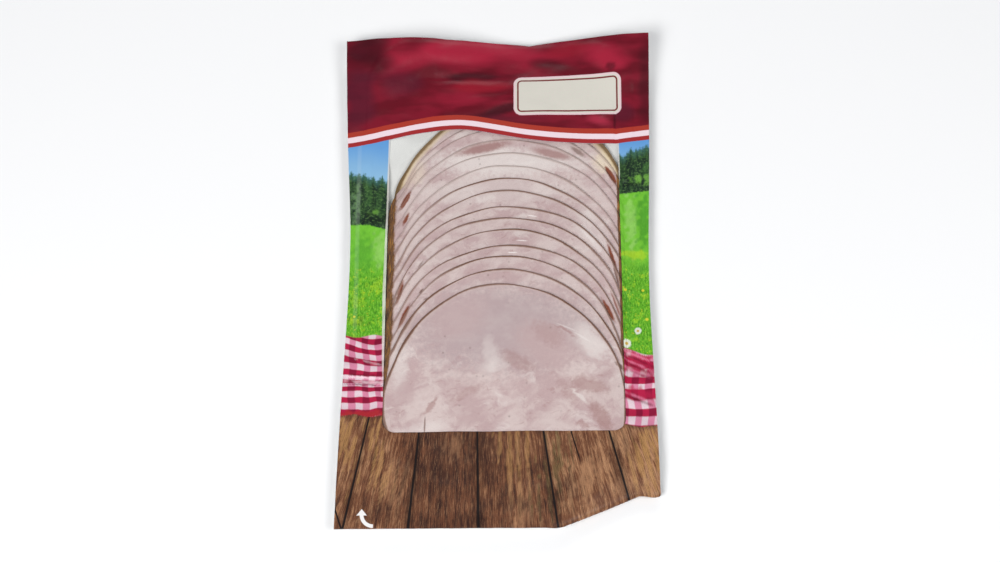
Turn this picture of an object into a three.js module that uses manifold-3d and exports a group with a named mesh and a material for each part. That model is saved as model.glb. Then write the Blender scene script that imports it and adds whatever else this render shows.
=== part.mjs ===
// Flat vacuum pack of shingled, D-shaped cooked slices, lying on its back with the printed side up.
// Millimetres, +Z up, header towards +Y. The origin is on the floor under the middle of the pack.
import * as THREE from 'three';
import Module from 'manifold-3d';
import { mergeVertices } from 'three/addons/utils/BufferGeometryUtils.js';

const wasm = await Module();
wasm.setup();

// Driving dimensions of the sealed pack
const edgeReach = { left: 76.48, right: 75.88 };
const halfLength = 124.2;
const flangeHeight = 6;
const filmThickness = 0.3;
const layerGap = 0.3;
const filmClearance = 0.6;
const leftWaist = { depth: 5.8, at: 12, above: 62, below: 98 };
const rightWaist = { depth: 3.6, at: -5, above: 67, below: 67 };
const headerDip = { depth: 1.15, at: -5, reach: 60 };
const headerNotch = { depth: 1.6, at: 16, reach: 6 };
const headerWave = { mean: 2.5, height: 4.3, crest: -45, length: 118, from: 84 };
const foldedCorner = { startX: 29, endX: 69, endY: -107.6, sag: 1.6 };

// Driving dimensions of the slices
const sliceCount = 15;
const slicePitch = 7.16;
const sliceStep = 1;
const sliceThickness = 0.65;
const sliceRadius = 56.5;
const sliceDepth = 36;
const sliceSquareness = 2.6;
const sliceLean = 0.26;
const sliceWobble = 0.5;
const frontSlice = { x: 3.8, topY: -8.7 };
const backCrowding = 3.4;
const crowdedSlices = 2;
const stackSides = { left: -53.5, right: 59.9 };
const drawnFrom = 0.9;

// How the stack beds down between the two films
const shoulder = 2;
const bellyHeight = 5;
const flatSlices = 8;
const bedClearance = 0.95;
const ridgeWidth = 1.5;

// The clear window in the printed layer
const clearWindow = { left: -52.8, right: 59.3, bottom: -78.8, corner: 6 };
const windowCrest = { base: 67, rise: 8.5, at: -22, reach: 34 };

// How finely the faceted faces are divided
const sliceSectors = 32;
const sliceRings = [0.36, 0.64, 0.85, 1];
const spineSteps = 8;
const stackRings = [0.4, 0.72, 0.9, 1];
const flangeRings = [0.3, 0.64, 1];
const cornerSteps = 5;
const endSteps = 12;

const { abs, cos, exp, hypot, max, min, pow, sign, sin, sqrt, PI } = Math;
const clamp = (value, low, high) => min(max(value, low), high);

// 0 below 0, 1 above 1, with a soft start and end
function softStep(value) {
  const v = clamp(value, 0, 1);
  return v * v * (3 - 2 * v);
}

// The larger of value and 0, rounded over twice the width
function softPositive(value, width) {
  if (value <= -width) return 0;
  if (value >= width) return value;
  return (value + width) ** 2 / (4 * width);
}

// A bell whose skirts die away slowly, with a reach of its own on each side
function bell(value, { depth, at, above, below }) {
  const reach = value > at ? above : below;
  return depth / (1 + ((value - at) / reach) ** 2);
}

// Place of slice i, where 0 lies at the back under the header and the last one is whole in front
function slicePlace(i) {
  const behind = sliceCount - 1 - i;
  const crowd = i < crowdedSlices ? backCrowding : 0;
  return {
    x: frontSlice.x + sliceLean * behind,
    y: frontSlice.topY + slicePitch * behind - crowd + sliceWobble * sin(2.1 * i) - sliceRadius,
  };
}

// Outline of a slice: a half circle above its centre and a squarish half oval below
function sliceOutline(angle) {
  const c = cos(angle);
  const s = sin(angle);
  if (s >= 0) return { x: sliceRadius * c, y: sliceRadius * s };
  const power = 2 / sliceSquareness;
  return { x: sliceRadius * sign(c) * pow(abs(c), power), y: -sliceDepth * pow(-s, power) };
}

const backPlace = slicePlace(0);
const frontPlace = slicePlace(sliceCount - 1);

// Middle line of the stack, which leans a little from the front slice to the back one
function spineX(y) {
  const along = clamp((y - frontPlace.y) / (backPlace.y - frontPlace.y), 0, 1);
  return frontPlace.x + (backPlace.x - frontPlace.x) * along;
}

// How many slices lie at or below the top face at a point, and how many have ended beneath it
function slicesAt(x, y) {
  const softRadius = sliceRadius + shoulder;
  const across = min(abs(x - spineX(y)), sliceRadius);
  const upper = sqrt(softRadius ** 2 - across ** 2) - shoulder;
  const lower = sliceDepth * pow(1 - pow(across / softRadius, sliceSquareness), 1 / sliceSquareness);
  const topOfFirst = frontSlice.topY + slicePitch * (sliceCount - 1) - sliceRadius + upper;
  const fromTop = (topOfFirst - y) / slicePitch + 1;
  const highest = sliceCount - softPositive(sliceCount - fromTop, ridgeWidth);
  const ended = softPositive((backPlace.y - lower - y) / slicePitch, ridgeWidth);
  return { highest, ended };
}

// Rise of the back film from its flat belly towards the thin ends of the stack
function bellyRise(x, y) {
  const { highest, ended } = slicesAt(x, y);
  const thin = clamp(1 - (highest - ended) / flatSlices, 0, 1);
  return bellyHeight * pow(thin, 1.5);
}

// Underside of the lowest slice, if it ran on under the whole stack
const bed = (x, y) => bedClearance + bellyRise(x, y) - sliceStep * slicesAt(x, y).ended;

// Nearest place on the stack for a point outside it, and how far outside it lies
function clampToStack(x, y) {
  const endY = clamp(y, frontPlace.y, backPlace.y);
  const centre = spineX(endY);
  const leftShare = sliceRadius / (centre - stackSides.left);
  const widened = x < centre ? leftShare : 1;
  const dx = (x - centre) * widened;
  const dy = y - endY;
  let reach = abs(dx) / sliceRadius;
  if (dy > 0) reach = hypot(dx, dy) / sliceRadius;
  if (dy < 0) {
    const sum = pow(abs(dx) / sliceRadius, sliceSquareness) + pow(-dy / sliceDepth, sliceSquareness);
    reach = pow(sum, 1 / sliceSquareness);
  }
  reach = max(reach, dx / (stackSides.right - centre));
  const keep = 1 / max(reach, 1);
  const near = { x: centre + dx * keep / widened, y: endY + dy * keep };
  return { ...near, outside: hypot(x - near.x, y - near.y) };
}

// Height of the seam between the films: wavy along the header, sagging at the folded corner
function flangeLevel(x, y) {
  const turn = 2 * PI * (x - headerWave.crest) / headerWave.length;
  const swell = headerWave.mean + headerWave.height * cos(turn);
  const wave = swell * softStep((y - headerWave.from) / (halfLength - headerWave.from));
  const foldY = cornerFoldY(x);
  const sag = foldedCorner.sag * softStep((x - foldedCorner.startX) / 20) * softStep(1 - (y - foldY) / 12);
  return flangeHeight + wave - sag;
}

// The corner at the bottom right is bent under along this line
function cornerFoldY(x) {
  const along = clamp((x - foldedCorner.startX) / (foldedCorner.endX - foldedCorner.startX), 0, 1);
  return -halfLength + (foldedCorner.endY + halfLength) * along;
}

// From its level at the edge of the stack a film eases out to the flange
function easedOut(x, y, levelAt, flangeOffset) {
  const near = clampToStack(x, y);
  const edge = levelAt(near.x, near.y);
  if (near.outside === 0) return edge;
  const flange = flangeLevel(x, y) + flangeOffset;
  const foot = 5 + 1.2 * abs(edge - flange);
  return flange + (edge - flange) * (1 - softStep(near.outside / foot));
}

const stackTop = (x, y) => bed(x, y) + sliceStep * slicesAt(x, y).highest;
const frontLevel = (x, y) => easedOut(x, y, (a, b) => stackTop(a, b) + filmClearance, layerGap / 2);
const backLevel = (x, y) => easedOut(x, y, bellyRise, -layerGap / 2 - filmThickness);

// Points round the cut edge of the films, counter-clockwise, each with its place on the middle line
function packEdge() {
  const points = [];
  const sideX = {
    right: (y) => edgeReach.right - bell(y, rightWaist),
    left: (y) => bell(y, leftWaist) - edgeReach.left,
  };
  const topY = (x) => {
    const dip = headerDip.depth * exp(-(((x - headerDip.at) / headerDip.reach) ** 2));
    return halfLength - dip - headerNotch.depth * exp(-abs(x - headerNotch.at) / headerNotch.reach);
  };
  const sideLevels = (from, to, steps) => {
    const levels = [];
    for (let k = 0; k < steps; k += 1) levels.push(from + (to - from) * k / steps);
    return levels;
  };
  const rising = [
    ...sideLevels(foldedCorner.endY, frontPlace.y, cornerSteps - 1),
    ...sideLevels(frontPlace.y, backPlace.y, spineSteps),
    ...sideLevels(backPlace.y, halfLength, cornerSteps + 1),
  ];
  const falling = [
    ...sideLevels(halfLength, backPlace.y, cornerSteps + 1),
    ...sideLevels(backPlace.y, frontPlace.y, spineSteps),
    ...sideLevels(frontPlace.y, -halfLength, cornerSteps + 1),
  ];
  for (const y of rising) points.push({ x: sideX.right(y), y });
  const topRight = sideX.right(halfLength);
  const topLeft = sideX.left(halfLength);
  for (let k = 0; k < endSteps; k += 1) {
    const x = topRight + (topLeft - topRight) * k / endSteps;
    points.push({ x, y: topY(x) });
  }
  for (const y of falling) points.push({ x: sideX.left(y), y });
  const bottomLeft = sideX.left(-halfLength);
  for (let k = 0; k < endSteps; k += 1) {
    const x = bottomLeft + (foldedCorner.endX - bottomLeft) * k / endSteps;
    points.push({ x, y: cornerFoldY(x) });
  }
  points.push({ x: foldedCorner.endX, y: foldedCorner.endY });
  return points;
}

// Vertices and triangles, seen from above, that cover the pack in rings from its middle line outwards
function packGrid() {
  const xy = [];
  const seen = new Map();
  const vertex = (x, y) => {
    const key = `${x.toFixed(3)},${y.toFixed(3)}`;
    if (!seen.has(key)) {
      seen.set(key, xy.length);
      xy.push({ x, y });
    }
    return seen.get(key);
  };
  const columns = packEdge().map((edge) => {
    const y = clamp(edge.y, frontPlace.y, backPlace.y);
    const centre = { x: spineX(y), y };
    const near = clampToStack(edge.x, edge.y);
    const column = [vertex(centre.x, centre.y)];
    const between = (from, to, s) => vertex(from.x + (to.x - from.x) * s, from.y + (to.y - from.y) * s);
    for (const s of stackRings) column.push(between(centre, near, s));
    for (const s of flangeRings) column.push(between(near, edge, s));
    return column;
  });
  const triangles = [];
  const addTriangle = (a, b, c) => {
    if (a !== b && b !== c && c !== a) triangles.push([a, b, c]);
  };
  columns.forEach((column, k) => {
    const next = columns[(k + 1) % columns.length];
    for (let r = 0; r + 1 < column.length; r += 1) {
      addTriangle(column[r], column[r + 1], next[r + 1]);
      addTriangle(column[r], next[r + 1], next[r]);
    }
  });
  const rim = columns.map((column) => column[column.length - 1]);
  return { xy, triangles, rim };
}

// Closed solid between two heights over a flat mesh, with a wall round its rim
function solidBetween({ xy, triangles, rim }, lowAt, highAt) {
  const positions = [];
  for (const { x, y } of xy) positions.push(x, y, lowAt(x, y));
  for (const { x, y } of xy) positions.push(x, y, highAt(x, y));
  const high = xy.length;
  const index = [];
  for (const [a, b, c] of triangles) index.push(a, c, b, a + high, b + high, c + high);
  rim.forEach((a, k) => {
    const b = rim[(k + 1) % rim.length];
    index.push(a, b, b + high, a, b + high, a + high);
  });
  const geometry = new THREE.BufferGeometry();
  geometry.setAttribute('position', new THREE.Float32BufferAttribute(positions, 3));
  geometry.setIndex(index);
  geometry.computeVertexNormals();
  return geometry;
}

// One slice of meat: rings from its centre to its outline, bedded on the slices behind it.
// Its right side is straight and its left side drawn out, where they lie against the sides of the pack.
function sliceGeometry(i) {
  const place = slicePlace(i);
  const pull = place.x - sliceRadius - stackSides.left;
  const drawnLeft = (dx) => pull * softStep((-dx / sliceRadius - drawnFrom) / (1 - drawnFrom));
  const xy = [{ x: place.x, y: place.y }];
  const triangles = [];
  const at = (ring, k) => 1 + ring * sliceSectors + (k % sliceSectors);
  sliceRings.forEach((s, ring) => {
    for (let k = 0; k < sliceSectors; k += 1) {
      const point = sliceOutline(2 * PI * k / sliceSectors);
      const dx = point.x * s;
      xy.push({ x: min(place.x + dx - drawnLeft(dx), stackSides.right), y: place.y + point.y * s });
      if (ring === 0) triangles.push([0, at(0, k), at(0, k + 1)]);
      else {
        triangles.push([at(ring - 1, k), at(ring, k), at(ring, k + 1)]);
        triangles.push([at(ring - 1, k), at(ring, k + 1), at(ring - 1, k + 1)]);
      }
    }
  });
  const rim = [];
  for (let k = 0; k < sliceSectors; k += 1) rim.push(at(sliceRings.length - 1, k));
  const low = (x, y) => bed(x, y) + sliceStep * i;
  return solidBetween({ xy, triangles, rim }, low, (x, y) => low(x, y) + sliceThickness);
}

// Wave of the window's top edge, which follows the lower edge of the stripe
function windowTop(x) {
  return windowCrest.base + windowCrest.rise * exp(-(((x - windowCrest.at) / windowCrest.reach) ** 2));
}

// Upright block in the shape of the window
function windowBlock() {
  const { left, right, bottom, corner } = clearWindow;
  const shape = new THREE.Shape();
  shape.moveTo(right, bottom + corner);
  const topSteps = 12;
  for (let k = 0; k <= topSteps; k += 1) {
    const x = right + (left - right) * k / topSteps;
    shape.lineTo(x, windowTop(x));
  }
  shape.lineTo(left, bottom + corner);
  shape.quadraticCurveTo(left, bottom, left + corner, bottom);
  shape.lineTo(right - corner, bottom);
  shape.quadraticCurveTo(right, bottom, right, bottom + corner);
  return new THREE.ExtrudeGeometry(shape, { depth: 40, bevelEnabled: false, curveSegments: 4 });
}

function toManifold(geometry) {
  const bare = geometry.clone();
  bare.deleteAttribute('normal');
  if (bare.getAttribute('uv')) bare.deleteAttribute('uv');
  const merged = mergeVertices(bare, 1e-4);
  const vertProperties = new Float32Array(merged.getAttribute('position').array);
  const triVerts = new Uint32Array(merged.getIndex().array);
  return new wasm.Manifold(new wasm.Mesh({ numProp: 3, vertProperties, triVerts }));
}

function fromManifold(solid) {
  const mesh = solid.getMesh();
  const geometry = new THREE.BufferGeometry();
  geometry.setAttribute('position', new THREE.BufferAttribute(new Float32Array(mesh.vertProperties), 3));
  geometry.setIndex(new THREE.BufferAttribute(new Uint32Array(mesh.triVerts), 1));
  geometry.computeVertexNormals();
  return geometry;
}

const materials = {
  meat: new THREE.MeshStandardMaterial({ color: '#c3aead', roughness: 0.45, metalness: 0 }),
  print: new THREE.MeshStandardMaterial({ color: '#6b1a28', roughness: 0.35, metalness: 0 }),
  film: new THREE.MeshStandardMaterial({
    color: '#eef0f0', roughness: 0.15, metalness: 0, transparent: true, opacity: 0.3,
  }),
};

const pack = new THREE.Group();
function addPart(name, geometry, material) {
  const mesh = new THREE.Mesh(geometry, material);
  mesh.name = name;
  pack.add(mesh);
}

// The two films are sealed together all round the slices, and the ink lies on the front one
const grid = packGrid();
const printLevel = (x, y) => frontLevel(x, y) + filmThickness + layerGap;
const printSheet = solidBetween(grid, printLevel, (x, y) => printLevel(x, y) + filmThickness);
const filmOver = (levelAt) => solidBetween(grid, levelAt, (x, y) => levelAt(x, y) + filmThickness);
addPart('back_film', filmOver(backLevel), materials.film);
for (let i = 0; i < sliceCount; i += 1) {
  addPart(`slice_${String(i + 1).padStart(2, '0')}`, sliceGeometry(i), materials.meat);
}
addPart('front_film', filmOver(frontLevel), materials.film);
const openPrint = toManifold(printSheet).subtract(toManifold(windowBlock()));
addPart('print_layer', fromManifold(openPrint), materials.print);

export default pack;
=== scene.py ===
import math

import bpy
import numpy as np
from mathutils import Matrix, Vector


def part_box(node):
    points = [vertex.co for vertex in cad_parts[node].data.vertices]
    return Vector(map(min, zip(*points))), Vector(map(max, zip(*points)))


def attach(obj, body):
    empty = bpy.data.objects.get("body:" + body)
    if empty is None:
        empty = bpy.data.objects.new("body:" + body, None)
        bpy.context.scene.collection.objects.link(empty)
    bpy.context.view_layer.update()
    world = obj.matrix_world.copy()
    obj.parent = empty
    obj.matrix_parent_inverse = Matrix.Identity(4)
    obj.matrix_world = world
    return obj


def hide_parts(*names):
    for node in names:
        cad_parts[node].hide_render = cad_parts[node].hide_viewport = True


# A flat vacuum pack of overlapping meat slices, printed film with a clear window, lying on a pale floor.
# Lengths in the dictionaries and in the numpy code are millimetres, and makeMesh turns them into metres.

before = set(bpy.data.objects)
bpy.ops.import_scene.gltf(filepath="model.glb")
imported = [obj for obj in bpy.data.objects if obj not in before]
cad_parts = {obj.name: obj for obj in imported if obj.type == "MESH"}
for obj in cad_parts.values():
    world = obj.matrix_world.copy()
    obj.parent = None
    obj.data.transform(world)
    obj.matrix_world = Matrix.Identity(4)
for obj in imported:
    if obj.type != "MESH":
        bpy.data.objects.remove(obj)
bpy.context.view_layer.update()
print("frame loaded,", len(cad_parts), "nodes")


millimetre = 0.001    # in metres


# Camera, floor and lights

cameraView = {
    "aim": (1.34, -4.04, 6.0),   # the point in the middle of the picture
    "distance": 929.3,
    "tilt": 20.865,              # degrees from straight down
    "turn": 4.782,               # degrees about the vertical
    "lens": 70.2,
    "sensor": 36,
    "clip": (0.05, 20),          # metres
}

studio = {
    "floorSize": 6000,
    "floorColour": (250, 250, 250),
    "skyColour": (236, 240, 248),
    "skyStrength": 0.2,
    # place, aim, width, depth, power in watts
    "lamps": {
        "frontLamp": ((-520, -640, 1000), (0, 0, 0), 620, 620, 11.5),
        "rightLamp": ((680, -360, 900), (0, 0, 0), 500, 500, 5.2),
        "backLamp": ((-60, 1150, 620), (0, 40, 5), 1000, 420, 4.6),
    },
}


def tint(colour):
    # from the 0 to 255 scale of a screen colour to the linear values that the shaders use
    parts = [c / 255 for c in colour]
    return (*(c / 12.92 if c <= 0.04045 else ((c + 0.055) / 1.055) ** 2.4 for c in parts), 1.0)


def addObject(name, data):
    added = bpy.data.objects.new(name, data)
    bpy.context.scene.collection.objects.link(added)
    return added


def addCamera(view):
    tilt, turn = math.radians(view["tilt"]), math.radians(view["turn"])
    back = Vector((math.sin(turn) * math.sin(tilt), -math.cos(turn) * math.sin(tilt), math.cos(tilt)))
    right = Vector((0, 1, 0)).cross(back).normalized()
    data = bpy.data.cameras.new("camera")
    data.lens, data.sensor_width = view["lens"], view["sensor"]
    data.clip_start, data.clip_end = view["clip"]
    camera = addObject("camera", data)
    placed = Matrix((right, back.cross(right), back)).transposed().to_4x4()
    placed.translation = (Vector(view["aim"]) + back * view["distance"]) * millimetre
    camera.matrix_world = placed
    bpy.context.scene.camera = camera


def addLamp(name, place, aim, width, depth, power):
    data = bpy.data.lights.new(name, "AREA")
    data.shape, data.energy = "RECTANGLE", power
    data.size, data.size_y = width * millimetre, depth * millimetre
    lamp = addObject(name, data)
    lamp.location = Vector(place) * millimetre
    lamp.rotation_euler = (Vector(aim) - Vector(place)).to_track_quat("-Z", "Y").to_euler()


def addSky():
    world = bpy.data.worlds.new("studio")
    world.use_nodes = True
    background = world.node_tree.nodes["Background"]
    background.inputs["Color"].default_value = tint(studio["skyColour"])
    background.inputs["Strength"].default_value = studio["skyStrength"]
    bpy.context.scene.world = world


bpy.context.scene.view_settings.view_transform = "Standard"
addCamera(cameraView)
addSky()
for lampName, lampSetup in studio["lamps"].items():
    addLamp(lampName, *lampSetup)
print("camera and lights ready")


# Meshes

uvSpan = 100.0    # millimetres of sheet for one unit of the UV map


def makeMesh(name, points, faceArrays, sheetXY=None, attributes=None):
    # points in millimetres, faces as arrays of quads or triangles, sheetXY the flat place of each point
    mesh = bpy.data.meshes.new(name)
    mesh.vertices.add(len(points))
    mesh.vertices.foreach_set("co", (points * millimetre).astype(np.float32).ravel())
    corners = np.concatenate([faces.ravel() for faces in faceArrays]).astype(np.int32)
    sizes = np.concatenate([np.full(len(faces), faces.shape[1]) for faces in faceArrays])
    starts = np.concatenate([[0], np.cumsum(sizes)[:-1]]).astype(np.int32)
    mesh.loops.add(len(corners))
    mesh.loops.foreach_set("vertex_index", corners)
    mesh.polygons.add(len(sizes))
    mesh.polygons.foreach_set("loop_start", starts)
    mesh.polygons.foreach_set("use_smooth", np.ones(len(sizes), bool))
    if sheetXY is not None:
        layer = mesh.uv_layers.new(name="sheet")
        layer.data.foreach_set("uv", (sheetXY[corners] / uvSpan).astype(np.float32).ravel())
    for key, values in (attributes or {}).items():
        kind, field = ("FLOAT_COLOR", "color") if values.ndim == 2 else ("FLOAT", "value")
        mesh.attributes.new(key, kind, "POINT").data.foreach_set(field, values.astype(np.float32).ravel())
    mesh.update(calc_edges=True)
    return addObject(name, mesh)


def gridFaces(rows, columns, closed=False):
    # quads of a grid with its first index along rows; closed joins the last column to the first
    r, c = np.meshgrid(np.arange(rows - 1), np.arange(columns if closed else columns - 1), indexing="ij")
    low, high, d = r * columns, (r + 1) * columns, (c + 1) % columns
    return np.stack([low + c, low + d, high + d, high + c], -1).reshape(-1, 4)


def addThickness(piece, thickness):
    wall = piece.modifiers.new("thickness", "SOLIDIFY")
    wall.thickness = thickness * millimetre
    wall.offset = -1
    wall.use_even_offset = False


def finishPiece(piece, material, slotName, *nodes):
    piece.data.materials.append(material)
    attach(piece, "root")
    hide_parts(*nodes)


# Shader nodes written as arithmetic

def arithmetic(operation, swapped=False):
    return lambda wire, other: wire.finish.math(operation, *((other, wire) if swapped else (wire, other)))


class Wire:
    # a node's output that can stand in a sum
    def __init__(self, finish, socket):
        self.finish, self.socket = finish, socket

    def beside(self, output):
        return Wire(self.finish, self.socket.node.outputs[output])

    def __abs__(self):
        return self.finish.math("ABSOLUTE", self)

    __add__ = __radd__ = arithmetic("ADD")
    __mul__ = __rmul__ = arithmetic("MULTIPLY")
    __sub__, __rsub__ = arithmetic("SUBTRACT"), arithmetic("SUBTRACT", swapped=True)
    __truediv__ = arithmetic("DIVIDE")
    __pow__ = arithmetic("POWER")


class Finish:
    def __init__(self, name):
        self.material = bpy.data.materials.new(name)
        self.material.use_nodes = True
        self.tree = self.material.node_tree
        self.tree.nodes.clear()

    def add(self, kind, settings, sockets, output=0):
        node = self.tree.nodes.new("ShaderNode" + kind)
        for key, value in settings.items():
            setattr(node, key, value)
        for key, value in sockets.items():
            if isinstance(value, Wire):
                self.tree.links.new(value.socket, node.inputs[key])
            else:
                node.inputs[key].default_value = value
        return Wire(self, node.outputs[output]) if node.outputs else None

    def math(self, operation, first, second=0.0):
        return self.add("Math", {"operation": operation}, {0: first, 1: second})

    def least(self, first, second):
        return self.math("MINIMUM", first, second)

    def most(self, first, second):
        return self.math("MAXIMUM", first, second)

    def wave(self, angle):
        return self.math("SINE", angle)

    def part(self, value):
        return self.math("FRACT", value)

    def length(self, x, y):
        return (x * x + y * y) ** 0.5

    def ease(self, value, low, high):
        # 0 at low, 1 at high, with a soft start and end; low may be the larger
        return self.add("MapRange", {"interpolation_type": "SMOOTHSTEP"},
                        {"Value": value, "From Min": low, "From Max": high})

    def place(self, x, y):
        return self.add("CombineXYZ", {}, {"X": x, "Y": y})

    def across(self, vector, scale):
        # the first two parts of a vector, in millimetres
        x = self.add("SeparateXYZ", {}, {0: vector})
        return x * scale, x.beside("Y") * scale

    def onSheet(self):
        return self.across(self.add("UVMap", {"uv_map": "sheet"}, {}), uvSpan)

    def inObject(self):
        return self.across(self.add("TexCoord", {}, {}, "Object"), 1000)

    def attribute(self, key, output="Fac"):
        return self.add("Attribute", {"attribute_name": key}, {}, output)

    def noise(self, where, scale, detail=3.0, roughness=0.55, distortion=0.0):
        sockets = {"Vector": where, "Scale": scale, "Detail": detail, "Roughness": roughness}
        return self.add("TexNoise", {"noise_dimensions": "2D"}, {**sockets, "Distortion": distortion})

    def dots(self, where, scale):
        # distance from the nearest of scattered points
        sockets = {"Vector": where, "Scale": scale}
        return self.add("TexVoronoi", {"voronoi_dimensions": "2D"}, sockets, "Distance")

    def blend(self, share, first, second):
        # first colour where share is 0, second where it is 1
        return self.add("Mix", {"data_type": "RGBA"}, {0: share, 6: first, 7: second}, 2)

    def layers(self, colour, inks, *layers):
        # each layer mixes in an ink where its value eases from low to high: value, low, high, strength, ink
        for value, low, high, strength, ink in layers:
            colour = self.blend(self.ease(value, low, high) * strength, colour, tint(inks[ink]))
        return colour

    def shade(self, colour, factor):
        # colour made lighter or darker by a number, which may be larger than 1
        return self.add("Mix", {"data_type": "RGBA", "clamp_factor": False},
                        {0: factor, 6: (0, 0, 0, 1), 7: colour}, 2)

    def ovals(self, colour, where, rough, patches, inks):
        # soft oval patches: middle, half sizes, turn in degrees, name of the colour, strength
        for x, y, halfX, halfY, turn, ink, strength in patches:
            local = self.add("Mapping", {"vector_type": "TEXTURE"}, {
                "Vector": where, "Location": (x, y, 0), "Rotation": (0, 0, math.radians(turn)),
                "Scale": (halfX, halfY, 1)})
            away = self.add("VectorMath", {"operation": "LENGTH"}, {0: local}, "Value")
            colour = self.layers(colour, inks, (away + rough, 1.25, 0.45, strength, ink))
        return colour

    def relief(self, height, strength, distance):
        # distance in millimetres
        sockets = {"Strength": strength, "Distance": distance * millimetre, "Height": height}
        return self.add("Bump", {}, sockets)

    def surface(self, sockets):
        shader = self.add("BsdfPrincipled", {}, sockets)
        self.add("OutputMaterial", {}, {"Surface": shader})
        return self.material


# Form of the stack and of the films, the same as in the solids

def softStep(v):
    v = np.clip(v, 0, 1)
    return v * v * (3 - 2 * v)


def softPositive(v, width):
    # the larger of v and 0, rounded over twice the width
    return np.where(v <= -width, 0, np.where(v >= width, v, (v + width) ** 2 / (4 * width)))


stackShape = {
    "topOfFront": -8.7,
    "pitch": 7.16,
    "step": 1.0,
    "radius": 56.5,
    "depth": 36.0,
    "squareness": 2.6,
    "frontX": 3.8,
    "lean": 0.26,
    "sideLimit": 60.1,      # the right side of the slices is straight
    "sideRounding": 0.8,
    "sliceLift": 0.04,      # keeps a slice clear of the one below
    "leftLimit": -54.4,     # the film follows the stack as far as this on the left
    "leftFrom": 0.9,        # share of the radius past which a slice's left side is drawn out
    # how far left the slices reach: the back one, the front two, and the others with their change by slice
    "sliceLeft": {"back": -50.4, "front": -54.1, "others": -52.9, "change": -0.05},
    "shoulder": 2.0,
    "bellyHeight": 5.0,
    "flatSlices": 8.0,
    "bedClearance": 0.95,
    "ridgeWidth": 1.5,
    "drape": 1.5,           # width over which the film comes down from one slice to the next
    "waveSeed": 7,
    "swell": (11, 9, 14, 44, 0.34),     # shared by all slices and the film over them, see ripples
}

sliceNodes = sorted(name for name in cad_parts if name.startswith("slice_"))
sliceCount = len(sliceNodes)
sliceTops = np.array([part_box(name)[1][1] for name in sliceNodes]) / millimetre
sliceX = stackShape["frontX"] + stackShape["lean"] * np.arange(sliceCount)[::-1]
sliceY = sliceTops - stackShape["radius"]
reach = stackShape["sliceLeft"]
sliceLeft = reach["others"] + reach["change"] * np.arange(sliceCount)
sliceLeft[0], sliceLeft[-2:] = reach["back"], reach["front"]
leftPull = sliceX - stackShape["radius"] - sliceLeft
filmPull = sliceX - stackShape["radius"] - stackShape["leftLimit"]

rimRandom = np.random.default_rng(stackShape["waveSeed"])
rimPhases = rimRandom.uniform(0, 2 * np.pi, (sliceCount, 5))
rimWaves = [(2, 0.3), (3, 0.35), (5, 0.25), (9, 0.14), (17, 0.07)]   # waves round the rim, height


def rimWave(i, angle):
    # sum of sines round the rim, each slice with phases of its own
    waves = zip(rimWaves, rimPhases[i])
    return sum(height * np.sin(turns * angle + phase) for (turns, height), phase in waves)


def ripples(x, y, seed, count, shortest, longest, height):
    # sum of sine waves that run in drawn directions
    draw = np.random.default_rng(seed)
    angles, lengths = draw.uniform(0, np.pi, count), draw.uniform(shortest, longest, count)
    phases = draw.uniform(0, 2 * np.pi, count)
    total = 0
    for angle, wave, phase in zip(angles, lengths, phases):
        along = x * math.cos(angle) + y * math.sin(angle)
        total = total + wave * np.sin(2 * np.pi * along / wave + phase)
    return height * total / (math.sqrt(count) * longest)


def spineX(y):
    along = np.clip((y - sliceY[-1]) / (sliceY[0] - sliceY[-1]), 0, 1)
    return sliceX[-1] + (sliceX[0] - sliceX[-1]) * along


def slicesAt(x, y):
    # how many slices lie at or below the top face at a point, and how many have ended beneath it
    s = stackShape
    softRadius = s["radius"] + s["shoulder"]
    across = np.minimum(np.abs(x - spineX(y)), s["radius"])
    upper = np.sqrt(softRadius ** 2 - across ** 2) - s["shoulder"]
    lower = s["depth"] * (1 - (across / softRadius) ** s["squareness"]) ** (1 / s["squareness"])
    topOfFirst = s["topOfFront"] + s["pitch"] * (sliceCount - 1) - s["radius"] + upper
    fromTop = (topOfFirst - y) / s["pitch"] + 1
    highest = sliceCount - softPositive(sliceCount - fromTop, s["ridgeWidth"])
    ended = softPositive((sliceY[0] - lower - y) / s["pitch"], s["ridgeWidth"])
    return highest, ended


def bellyRise(x, y):
    highest, ended = slicesAt(x, y)
    thin = np.clip(1 - (highest - ended) / stackShape["flatSlices"], 0, 1)
    return stackShape["bellyHeight"] * thin ** 1.5


def bed(x, y):
    # height of the face that the lowest slice rests on
    s = stackShape
    return s["bedClearance"] + bellyRise(x, y) - s["step"] * slicesAt(x, y)[1] + ripples(x, y, *s["swell"])


def clampToStack(x, y):
    # nearest place on the stack for a point outside it, and how far outside it lies
    s = stackShape
    endY = np.clip(y, sliceY[-1], sliceY[0])
    centre = spineX(endY)
    dx, dy = x - centre, y - endY
    leftShare = s["radius"] / (centre - s["leftLimit"])
    dx = np.where(dx < 0, dx * leftShare, dx)
    squarish = (np.abs(dx / s["radius"]) ** s["squareness"]
                + np.abs(dy / s["depth"]) ** s["squareness"]) ** (1 / s["squareness"])
    reach = np.where(dy >= 0, np.hypot(dx, dy) / s["radius"], squarish)
    reach = np.maximum(reach, dx / (s["sideLimit"] + 0.7 - centre))
    keep = 1 / np.maximum(reach, 1)
    nearX, nearY = centre + np.where(dx < 0, dx / leftShare, dx) * keep, endY + dy * keep
    return nearX, nearY, np.hypot(x - nearX, y - nearY)


def drawnLeft(dx, pull):
    # how far a point of a slice's left side is drawn out
    start = stackShape["leftFrom"]
    return pull * softStep((-dx / stackShape["radius"] - start) / (1 - start))


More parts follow.
